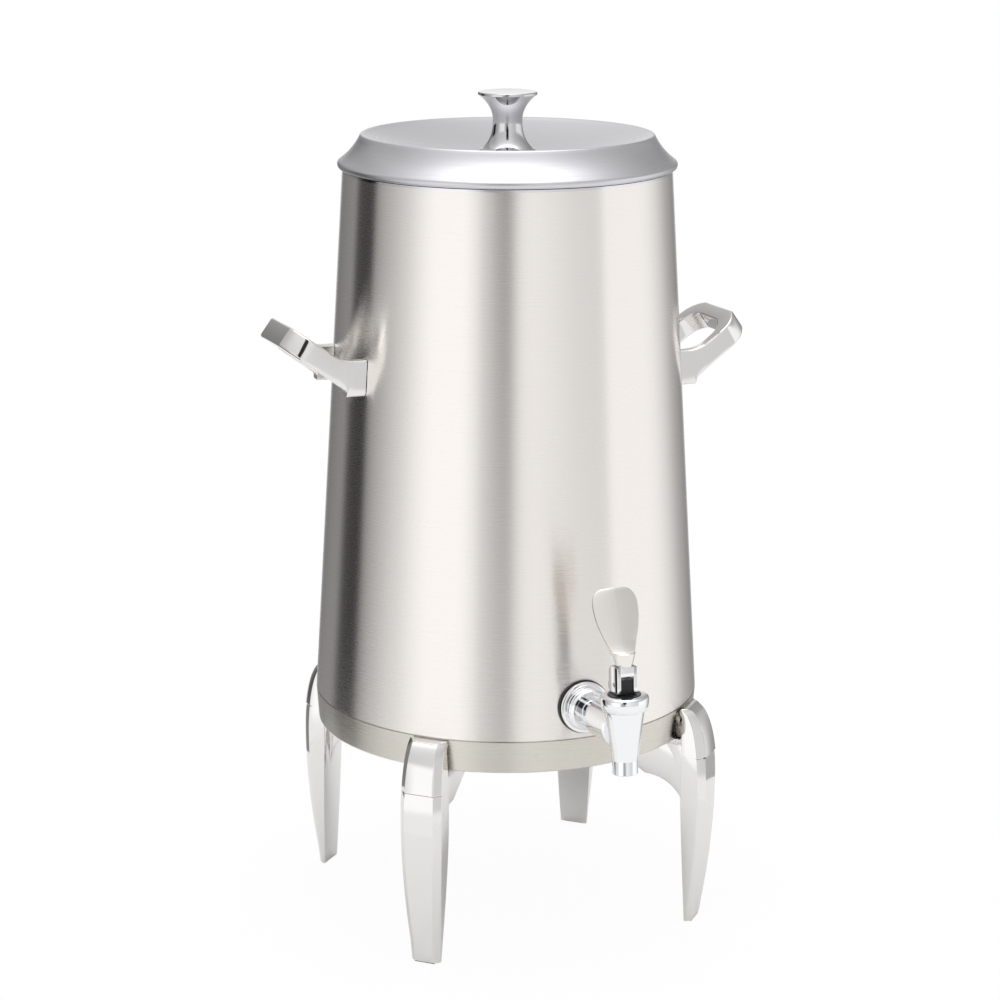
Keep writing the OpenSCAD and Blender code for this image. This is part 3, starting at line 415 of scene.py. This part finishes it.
# Satin rings 1.2 mm apart, left by the brush on the turning lid, spread the light softly
rings_per_metre = 830.0
satin_spun, tree = new_material("satin_spun_stainless")
coords = add_node(tree, "TexCoord")
flat = add_node(tree, "VectorMath", {0: coords.outputs["Object"], 1: (1, 1, 0)}, operation="MULTIPLY")
radius = add_node(tree, "VectorMath", {0: flat.outputs[0]}, operation="LENGTH")
ring_no = add_node(tree, "Math", {0: radius.outputs["Value"], 1: rings_per_metre}, operation="MULTIPLY")
marks = add_node(tree, "TexNoise", {"W": ring_no.outputs[0], "Scale": 1.0, "Detail": 2.0},
                 noise_dimensions="1D")
dull = add_node(tree, "MapRange", {0: marks.outputs[0], 1: 0.3, 2: 0.7, 3: 0.30, 4: 0.38})
tone = add_node(tree, "Mix", {0: marks.outputs[0], 6: linear("#dbdadd"), 7: linear("#d2d1d5")},
                data_type="RGBA")
relief = add_node(tree, "Bump", {"Height": marks.outputs[0], "Distance": 0.000006})
surface = add_node(tree, "BsdfPrincipled", {"Base Color": tone.outputs[2], "Metallic": 1.0,
                                            "Roughness": dull.outputs[0], "Normal": relief.outputs[0]})
add_node(tree, "OutputMaterial", {0: surface.outputs[0]})
make_piece("spun_lid", mesh, satin_spun, "lid", "lid_shell", crease=50)


# ---- Knob ----
# A spool turned and polished from cast metal: a flared foot, a straight waist and a wider flared
# top with a thin rim. One screw from inside the lid holds it. Its alloy is greyer than the legs'.

# Polished casting: mirror bright, with the slow waviness a buffing wheel leaves, about 25 mm long
polished_casting = metal("polished_casting", "#ebe9e7", 0.07, (40, 40, 40), bump=0.00003,
                         unevenness=0.02)
grey_casting = metal("polished_grey_casting", "#d2d2d5", 0.06, (50, 50, 50), bump=0.00002,
                     unevenness=0.02)
knob_foot_r, waist_r, knob_top_r, knob_h, rim_t = 18.4, 9.8, 19.5, 39.0, 1.8
spool = [(0, 0), (knob_foot_r - 0.4, 0), (knob_foot_r, 0.4), (knob_foot_r, rim_t - 0.4)]
spool += curve((knob_foot_r - 0.2, rim_t), (10.7, 5.5), (waist_r, 18), 16)
spool += curve((waist_r, 22), (10.5, 30.5), (knob_top_r, knob_h - rim_t), 16)
spool += [(knob_top_r, knob_h - rim_t + 0.4)]
spool += arc((knob_top_r - 0.8, knob_h - 0.8), 0.8, 0.8, 0, 90, 4)
spool += [(knob_top_r - 4, knob_h - 0.3), (0, knob_h - 0.1)]
mesh = bmesh.new()
turned(mesh, spool, steps=96)
make_piece("spool_knob", mesh, grey_casting, "lid", "lid_knob",
           place=Matrix.Translation((0, 0, land_z)))


# ---- Legs ----
# Four polished castings. Each hooks over the band with a rounded crown, runs down in a long
# tapering tusk with chamfered edges, and carries the base on a web, a broad fillet and a flange.


def eased(ring, cut, steps=3):
    """Rounds every corner of a ring of points: each gives way to a short curve of steps + 1."""
    out = []
    for before, corner, after in zip(ring[-1:] + ring[:-1], ring, ring[1:] + ring[:1]):
        before, corner, after = Vector(before), Vector(corner), Vector(after)
        start = corner.lerp(before, min(0.45, cut / max(cut, (before - corner).length)))
        end = corner.lerp(after, min(0.45, cut / max(cut, (after - corner).length)))
        for i in range(steps + 1):
            t = i / steps
            out.append(start.lerp(corner, t).lerp(corner.lerp(end, t), t))
    return out


def skinned(mesh, rings):
    """Bends a grid so that its rows lie on rings of points, and fills its two open ends."""
    count = len(rings[0])
    grid = bmesh.ops.create_grid(mesh, x_segments=count, y_segments=len(rings) - 1, size=1)["verts"]
    for vert in grid:
        column = round((vert.co.x + 1) / 2 * count) % count
        row = round((vert.co.y + 1) / 2 * (len(rings) - 1))
        vert.co = rings[row][column]
    bmesh.ops.remove_doubles(mesh, verts=grid, dist=0.001)
    rims = [edge for edge in mesh.edges if edge.is_boundary]
    bmesh.ops.holes_fill(mesh, edges=rims, sides=0)


def soften(mesh, width, segments=2, sharper_than=25):
    """Bevels every edge that turns by more than an angle."""
    edges = [edge for edge in mesh.edges
             if len(edge.link_faces) == 2 and edge.calc_face_angle(0) > math.radians(sharper_than)]
    bmesh.ops.bevel(mesh, geom=edges, offset=width, segments=segments, profile=0.5, material=-1,
                    affect="EDGES", clamp_overlap=True)


def plate(mesh, outline, width):
    """A plate of a side outline of (radius, height) points, as wide as given and centred."""
    verts = [mesh.verts.new((-width / 2, -r, z)) for r, z in outline]
    face = mesh.faces.new(verts)
    grown = bmesh.ops.extrude_face_region(mesh, geom=[face])["geom"]
    bmesh.ops.translate(mesh, vec=(width, 0, 0),
                        verts=[part for part in grown if isinstance(part, bmesh.types.BMVert)])


def add_copy(mesh, part):
    """Adds a copy of one bmesh to another."""
    data = bpy.data.meshes.new("copy")
    part.to_mesh(data)
    mesh.from_mesh(data)
    bpy.data.meshes.remove(data)


leg_in, leg_out, leg_top = 132.5, 150.0, 152.5
crown_z, shin_r, foot_z, foot_in, taper_top = 98.5, 543.5, 0.6, 135.4, 90.4
foot_half, widest_half, widest_z, top_narrowing, chamfer = 10, 14.5, 104, 1.75, 4.4
lip_z, lip_top, lip, groove = 120.0, 148.0, 0.9, 1.2  # the raised front, and the groove below it
crown_power, lip_power = 0.87, 2.3  # the crown is fuller than an ellipse, by its angle and by height


def half_width(z):
    """Half the leg's width at a height: widest below the crown, narrow at the foot."""
    if z < widest_z:
        return foot_half + (widest_half - foot_half) * math.sin(math.radians(90 * z / widest_z))
    return widest_half - top_narrowing * ((z - widest_z) / (leg_top - widest_z)) ** 2


def leg_ring(z, outer, inner, raised=0, inner_z=None):
    """A section of the leg: a rectangle with its two outer corners cut off, and a raised front."""
    w, c = half_width(z), min(chamfer, (outer - inner) * 0.6)
    inner_z = z if inner_z is None else inner_z
    return eased([
        (-w, -inner, inner_z), (w, -inner, inner_z), (w, -(outer - c), z), (w - c, -outer, z),
        (w - c, -(outer + raised), z), (-w + c, -(outer + raised), z), (-w + c, -outer, z),
        (-w, -(outer - c), z)], 0.35, 2)


rings = []
for i in range(25):
    z = foot_z + (crown_z - foot_z) * i / 24
    outer = leg_out - shin_r + math.sqrt(shin_r ** 2 - (crown_z - z) ** 2) - lip
    inner = foot_in + (leg_in - foot_in) * min(1, z / taper_top)
    rings.append(leg_ring(z, outer, inner))
crown_w, crown_h = leg_out - leg_in, leg_top - crown_z
turns_up = [math.radians(90 * i / 32) for i in range(1, 33)]
crown = [(leg_in + crown_w * max(0, math.cos(a)) ** crown_power,
          crown_z + crown_h * math.sin(a) ** crown_power) for a in turns_up]
below_lip = [(r, z) for r, z in crown if z < lip_z - 1.5]
above_lip = [(r, z) for r, z in crown if z > lip_z + 1]
lip_r = leg_in + crown_w * (1 - ((lip_z - crown_z) / crown_h) ** lip_power) ** (1 / lip_power)
quirk = [(lip_r, lip_z - 0.9), (lip_r - groove, lip_z - 0.7), (lip_r - groove, lip_z)]
rings += [leg_ring(z, r - lip, leg_in) for r, z in below_lip + quirk]
hook_z, hook_h, hook_in = 146.5, 3, 1.9  # the crown's tip reaches in over the band
for r, z in [(lip_r, lip_z)] + above_lip:
    raised = lip * max(0, 1 - ((z - lip_z) / (lip_top - lip_z)) ** 2)
    inner = leg_in - hook_in * max(0, min(1, (z - hook_z) / hook_h))
    rings.append(leg_ring(z, max(r, leg_in + 0.4) - raised, inner, raised,
                          inner_z=z - (1 if z > leg_top - 0.5 else 0)))
tusk = bmesh.new()
skinned(tusk, rings)

arm_low, arm_high, rooted = 75.8, 128.9, leg_in + 2  # the arm's pieces run 2 mm into the tusk
web = bmesh.new()
plate(web, [(rooted, arm_low)] + arc((leg_in - 28.5, arm_low), 28.5, 25.6, 0, 90, 16)
      + [(82, 116.4), (79, arm_high), (rooted, arm_high)], 11)
soften(web, 1.2, segments=3)
flange_in, flange_w, flange_t, flange_top = 62, 26, 5, 131.4
fillet_r, fillet_h, fillet_top = 21, 42, flange_top - 0.2
fillet = bmesh.new()
plate(fillet, [(rooted, taper_top)] + arc((leg_in - fillet_r, taper_top), fillet_r, fillet_h, 0, 77, 14)
      + [(leg_in - fillet_r, fillet_top), (rooted, fillet_top)], flange_w)
soften(fillet, 0.8)
flange = bmesh.new()
plate(flange, [(flange_in, flange_top - flange_t), (rooted, flange_top - flange_t), (rooted, flange_top),
               (flange_in, flange_top)], flange_w)
soften(flange, 0.8)
boss_r, boss_t, boss_mid_r, hook_screw_z = 5.5, 3.4, 131.7, flange_top + 10.55
boss = bmesh.new()
bmesh.ops.create_cone(boss, cap_ends=True, segments=48, radius1=boss_r, radius2=boss_r, depth=boss_t,
                      matrix=Matrix.Translation((0, -boss_mid_r, hook_screw_z))
                      @ Matrix.Rotation(math.radians(90), 4, "X"))
for node, angle in (("leg_front_right", 45), ("leg_front_left", -45), ("leg_back_right", 135),
                    ("leg_back_left", -135)):
    mesh = bmesh.new()
    for part in (tusk, web, fillet, flange, boss):
        add_copy(mesh, part)
    make_piece(node + "_casting", mesh, polished_casting, "urn", node,
               place=Matrix.Rotation(math.radians(angle), 4, "Z"), crease=25)


# ---- Handles ----
# Two polished castings. Each is one loop: from a tall root on the jacket the arm bends up and
# out, rounds into a bowed grip, and comes back to a second root. Screws from inside hold both.

base_r, base_z, taper = 130, 153.5, 0.0606838
rise = math.radians(36.5)
arm_in, arm_out, arm_t = 25.0, 33.0, 14.5  # from the loop's middle, and the arm's thickness
root_out, step, root_h, wall_gap, corner = 8.2, 4.0, 23.5, 0.3, 2.0
right_z, left_z = 357.5, 368.0


def jacket_r(z):
    """Radius of the conical jacket at a height."""
    return base_r - taper * (z - base_z)


def handle_rings(low_z):
    """Sections of the loop, from its front root around the grip to its back root."""
    knee_r = jacket_r(low_z) + root_out
    knee_z, top_z = low_z + step, low_z + root_h
    bend = knee_r + (root_h - step - arm_t / math.cos(rise)) / math.tan(rise)

    def slope(w, along, up):
        """A point on the rising part: its half width, how far up the slope, how far off it."""
        r = knee_r + along * math.cos(rise) - up * math.sin(rise)
        return (w, -r, knee_z + along * math.sin(rise) + up * math.cos(rise))

    def upper(t):
        """The curve from the root's level top into the arm's upper face."""
        near, mid = Vector((bend - 9, top_z)), Vector((bend, top_z))
        far = mid + 10 * Vector((math.cos(rise), math.sin(rise)))
        return tuple(near.lerp(mid, t).lerp(mid.lerp(far, t), t))

    def on_wall(w, z):
        """A point of the root's end, a hairline off the jacket."""
        return (w, -math.sqrt(jacket_r(z) ** 2 - w ** 2) - wall_gap, z)

    half = [[on_wall(arm_in, low_z), on_wall(arm_out, low_z), on_wall(arm_out, top_z),
             on_wall(arm_in, top_z)]]
    roots = [((knee_r - 5, low_z), (bend - 13, top_z)), ((knee_r - 0.7, low_z), upper(0)),
             ((knee_r, low_z + 0.7), upper(0.2)), ((knee_r, knee_z - 0.9), upper(0.4))]
    for (low_r, z), (top_r, top) in roots:
        half.append([(arm_in, -low_r, z), (arm_out, -low_r, z), (arm_out, -top_r, top),
                     (arm_in, -top_r, top)])
    for along, t in ((1.2, 0.6), (6, 0.8), (12, 1.0)):
        top_r, top = upper(t)
        half.append([slope(arm_in, along, 0), slope(arm_out, along, 0), (arm_out, -top_r, top),
                     (arm_in, -top_r, top)])
    # The grip, as half widths and places up the slope: a straight side, a round corner, a flat end
    outer = [(arm_out, 28)] + arc((8.7, 34.5), 24.3, 18.2, 0, 65, 12) + [(0, 51)]
    inner = [(arm_in, 23)] + arc((3.5, 26.5), 21.5, 14.9, 0, 65, 12) + [(0, 40)]
    for (wo, so), (wi, si) in zip(outer, inner):
        half.append([slope(wi, si, 0), slope(wo, so, 0), slope(wo, so, arm_t), slope(wi, si, arm_t)])
    half = [eased(ring, corner, 4) for ring in half]
    return half + [[(-x, y, z) for x, y, z in ring] for ring in reversed(half[:-1])]


for node, angle, low_z in (("handle_right", 90, right_z), ("handle_left", -90, left_z)):
    mesh = bmesh.new()
    skinned(mesh, handle_rings(low_z))
    make_piece(node + "_casting", mesh, polished_casting, "urn", node,
               place=Matrix.Rotation(math.radians(angle), 4, "Z"), crease=16)


# ---- Tap ----
# Turned brass, polished and plated: a flange and a lock nut on the shank, a hub that runs into
# the tapered spout, and a bonnet screwed over the barrel. The stem guide sits in the bonnet.

# Chrome plate over polished brass: the brightest and sharpest surface on the urn
chrome_plate = metal("chrome_plate", "#f4f5f7", 0.04, (120, 120, 120), bump=0.00001, unevenness=0.015)
tap_z, tap_reach, wall_lean = 174.0, 62.3, 3.473  # degrees
bore_r, shank_r, ring_r, hub_r = 5.5, 8, 8.05, 12.5
shank_in, shank_out, hub_near, hub_far, hub_edge = 21, 53, 29, 56.3, 0.9
tap_place = Matrix.Translation((0, -jacket_r(tap_z), tap_z)) @ Matrix.Rotation(
    math.radians(-wall_lean), 4, "X")
outwards = tap_place @ Matrix.Rotation(math.radians(90), 4, "X")
barrel = tap_place @ Matrix.Translation((0, -tap_reach, 0))

mesh = bmesh.new()
turned(mesh, [(ring_r, 1.4), (16.1, 1.4), (16.7, 2.0), (16.7, 3.4), (16.3, 4.2), (15.5, 4.6),
              (15.0, 4.6), (14.8, 5.0), (ring_r, 5.0)], ring=True)
make_piece("shank_flange", mesh, chrome_plate, "urn", "tap_flange", place=outwards)
mesh = bmesh.new()
turned(mesh, [(ring_r, 5.0), (12.3, 5.0), (13.5, 6.2), (13.5, 7.8), (12.9, 8.4), (13.5, 9.0),
              (13.5, 10.8), (12.3, 12.0), (10.5, 12.0), (10.0, 11.4), (ring_r, 11.4)], ring=True)
make_piece("round_lock_nut", mesh, chrome_plate, "urn", "tap_lock_nut", place=outwards)

mesh = bmesh.new()
turned(mesh, [(bore_r, -shank_in), (shank_r, -shank_in), (shank_r, shank_out), (bore_r, shank_out)],
       steps=64, ring=True)
turned(mesh, [(shank_r, hub_near), (hub_r - hub_edge, hub_near), (hub_r, hub_near + hub_edge),
              (hub_r, hub_far - hub_edge), (hub_r - hub_edge, hub_far), (shank_r, hub_far)], ring=True)
bmesh.ops.transform(mesh, matrix=Matrix.Rotation(math.radians(90), 4, "X"), verts=mesh.verts[:])
tip_r, tip_z, cone_z, seat_z, thread_z, seat_r = 8.2, -28, -18.8, -6, 12, 8.5
spout = bmesh.new()
turned(spout, [(bore_r, tip_z), (tip_r - 0.4, tip_z), (tip_r, tip_z + 0.4), (tip_r, cone_z - 0.4)]
       + [(tip_r + (hub_r - tip_r) * i / 8, cone_z + (thread_z - cone_z) * i / 8) for i in range(9)]
       + [(hub_r, 18), (seat_r, 18), (seat_r, seat_z), (bore_r, seat_z)], ring=True)
bmesh.ops.translate(spout, vec=(0, -tap_reach, 0), verts=spout.verts[:])
add_copy(mesh, spout)
spout.free()
make_piece("spout_body", mesh, chrome_plate, "urn", "tap_body", place=tap_place)

collar_r, guide_r, guide_low, guide_high = 12.55, 7.5, 18.05, 20.45
mesh = bmesh.new()
turned(mesh, [(collar_r, 12.8), (13.4, 12.8), (14.0, 13.3), (14.6, 14.6), (15.1, 16.2), (15.4, 18.0),
              (15.5, 19.8), (15.4, 21.2), (14.9, 22.3), (13.8, 23.0), (10.6, 23.0), (10.6, guide_high),
              (guide_r, guide_high), (guide_r, guide_low), (collar_r, guide_low)], ring=True)
make_piece("screwed_bonnet", mesh, chrome_plate, "urn", "tap_bonnet", place=barrel,
           crease=40)


# ---- Return spring ----
# Five turns of steel wire round the stem, between its collar and the guide. Inside the bonnet,
# it never shows.

wire_r, coil_r, coil_low, coil_high, turns, stem_rise = 0.6, 6.0, 5.2, 20.3, 5, 1.6
mesh = bmesh.new()
section = bmesh.ops.create_circle(mesh, segments=12, radius=wire_r, matrix=Matrix.Translation(
    (coil_r, 0, coil_low + wire_r)) @ Matrix.Rotation(math.radians(90), 4, "X"))["verts"]
steps = 48 * turns
bmesh.ops.spin(mesh, geom=section + mesh.edges[:], axis=(0, 0, 1), cent=(0, 0, 0), steps=steps,
               dvec=(0, 0, (coil_high - coil_low - 2 * wire_r) / steps), angle=2 * math.pi * turns)
bmesh.ops.holes_fill(mesh, edges=[edge for edge in mesh.edges if edge.is_boundary], sides=0)
coil = make_piece("return_spring", mesh, spring_steel, "urn", "tap_spring", place=barrel)
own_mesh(coil)


# ---- Lever ----
# Plated brass: a forked yoke that rocks on the stem guide, and a paddle on a round neck, thin at
# its edges and swelling softly to its middle.

yoke_z, yoke_top, yoke_half, yoke_gap, cap_z = 23.8, 41.2, 7, 4.3, 35.3
yoke_front, yoke_back, heel_r, slant = 8.5, 5, 1.5, 5
head = [(yoke_back, yoke_top), (-5.5, yoke_top), (-yoke_front, yoke_top - slant)]
cheek_side = (arc((heel_r - yoke_front, yoke_z + heel_r), heel_r, heel_r, 180, 270, 4)
              + arc((yoke_back - heel_r, yoke_z + heel_r), heel_r, heel_r, -90, 0, 4) + head)
mesh = bmesh.new()
for x0, x1 in ((-yoke_half, -yoke_gap), (yoke_gap, yoke_half)):
    cheek = bmesh.new()
    plate(cheek, cheek_side, x1 - x0)
    bmesh.ops.translate(cheek, vec=((x0 + x1) / 2, 0, 0), verts=cheek.verts[:])
    soften(cheek, 0.35, sharper_than=40)
    add_copy(mesh, cheek)
    cheek.free()
cap = bmesh.new()
plate(cap, [(yoke_back, cap_z)] + head + [(-yoke_front, cap_z)], 2 * yoke_half - 0.4)
soften(cap, 0.35, sharper_than=40)
add_copy(mesh, cap)
cap.free()
make_piece("lever_fork", mesh, chrome_plate, "lever", "lever_yoke", place=barrel)

paddle_h, broad_z, paddle_half, root_half, flat_half = 42.0, 30.5, 15.5, 7.3, 7.3
edge_t, root_t, root_top, swell_t = 0.8, 1.7, 9, 1.3  # half thicknesses: root and swell add to the edge
neck_r, neck_top_r, neck_h, paddle_lean = 5.5, 7.3, 9.0, -21
paddle_side = [(root_half + (paddle_half - root_half) * math.sin(math.pi / 2 * i / 32), broad_z * i / 32)
               for i in range(32)]
paddle_side += arc((flat_half, broad_z), paddle_half - flat_half, paddle_h - broad_z, 0, 86, 30)
across_face = [-1, -0.75, -0.5, -0.25, 0, 0.25, 0.5, 0.75, 1]
rings = []
for half, z in paddle_side + [(0.5 * flat_half, paddle_h - 0.02)]:
    edge = edge_t + root_t * max(0, 1 - z / root_top) ** 2
    swollen = swell_t * min(1, half / 12)
    front_face = [(half * u, -edge - swollen * (1 - abs(u) ** 1.6), z) for u in across_face]
    back_face = [(half * u, edge + 0.5 * swollen * (1 - u * u), z) for u in reversed(across_face)]
    rings.append(eased(front_face + back_face, 0.4, 2))
blade = bmesh.new()
skinned(blade, rings)
bmesh.ops.transform(blade, matrix=Matrix.Translation((0, 1, 7)) @ Matrix.Rotation(
    math.radians(paddle_lean), 4, "X"), verts=blade.verts[:])
mesh = bmesh.new()
turned(mesh, [(0, 0), (neck_r - 0.3, 0), (neck_r, 0.3), (neck_top_r, neck_h - 0.4),
              (neck_top_r - 0.4, neck_h), (0, neck_h)], steps=64)
add_copy(mesh, blade)
blade.free()
# Satin plate on the paddle: it glows evenly where the rest of the tap is a mirror
satin_plate = metal("satin_nickel_plate", "#f1ede8", 0.24, (30, 30, 30), unevenness=0.02)
make_piece("lever_blade", mesh, satin_plate, "lever", "lever_paddle",
           place=barrel @ Matrix.Translation((0, 0, yoke_top)), crease=14)
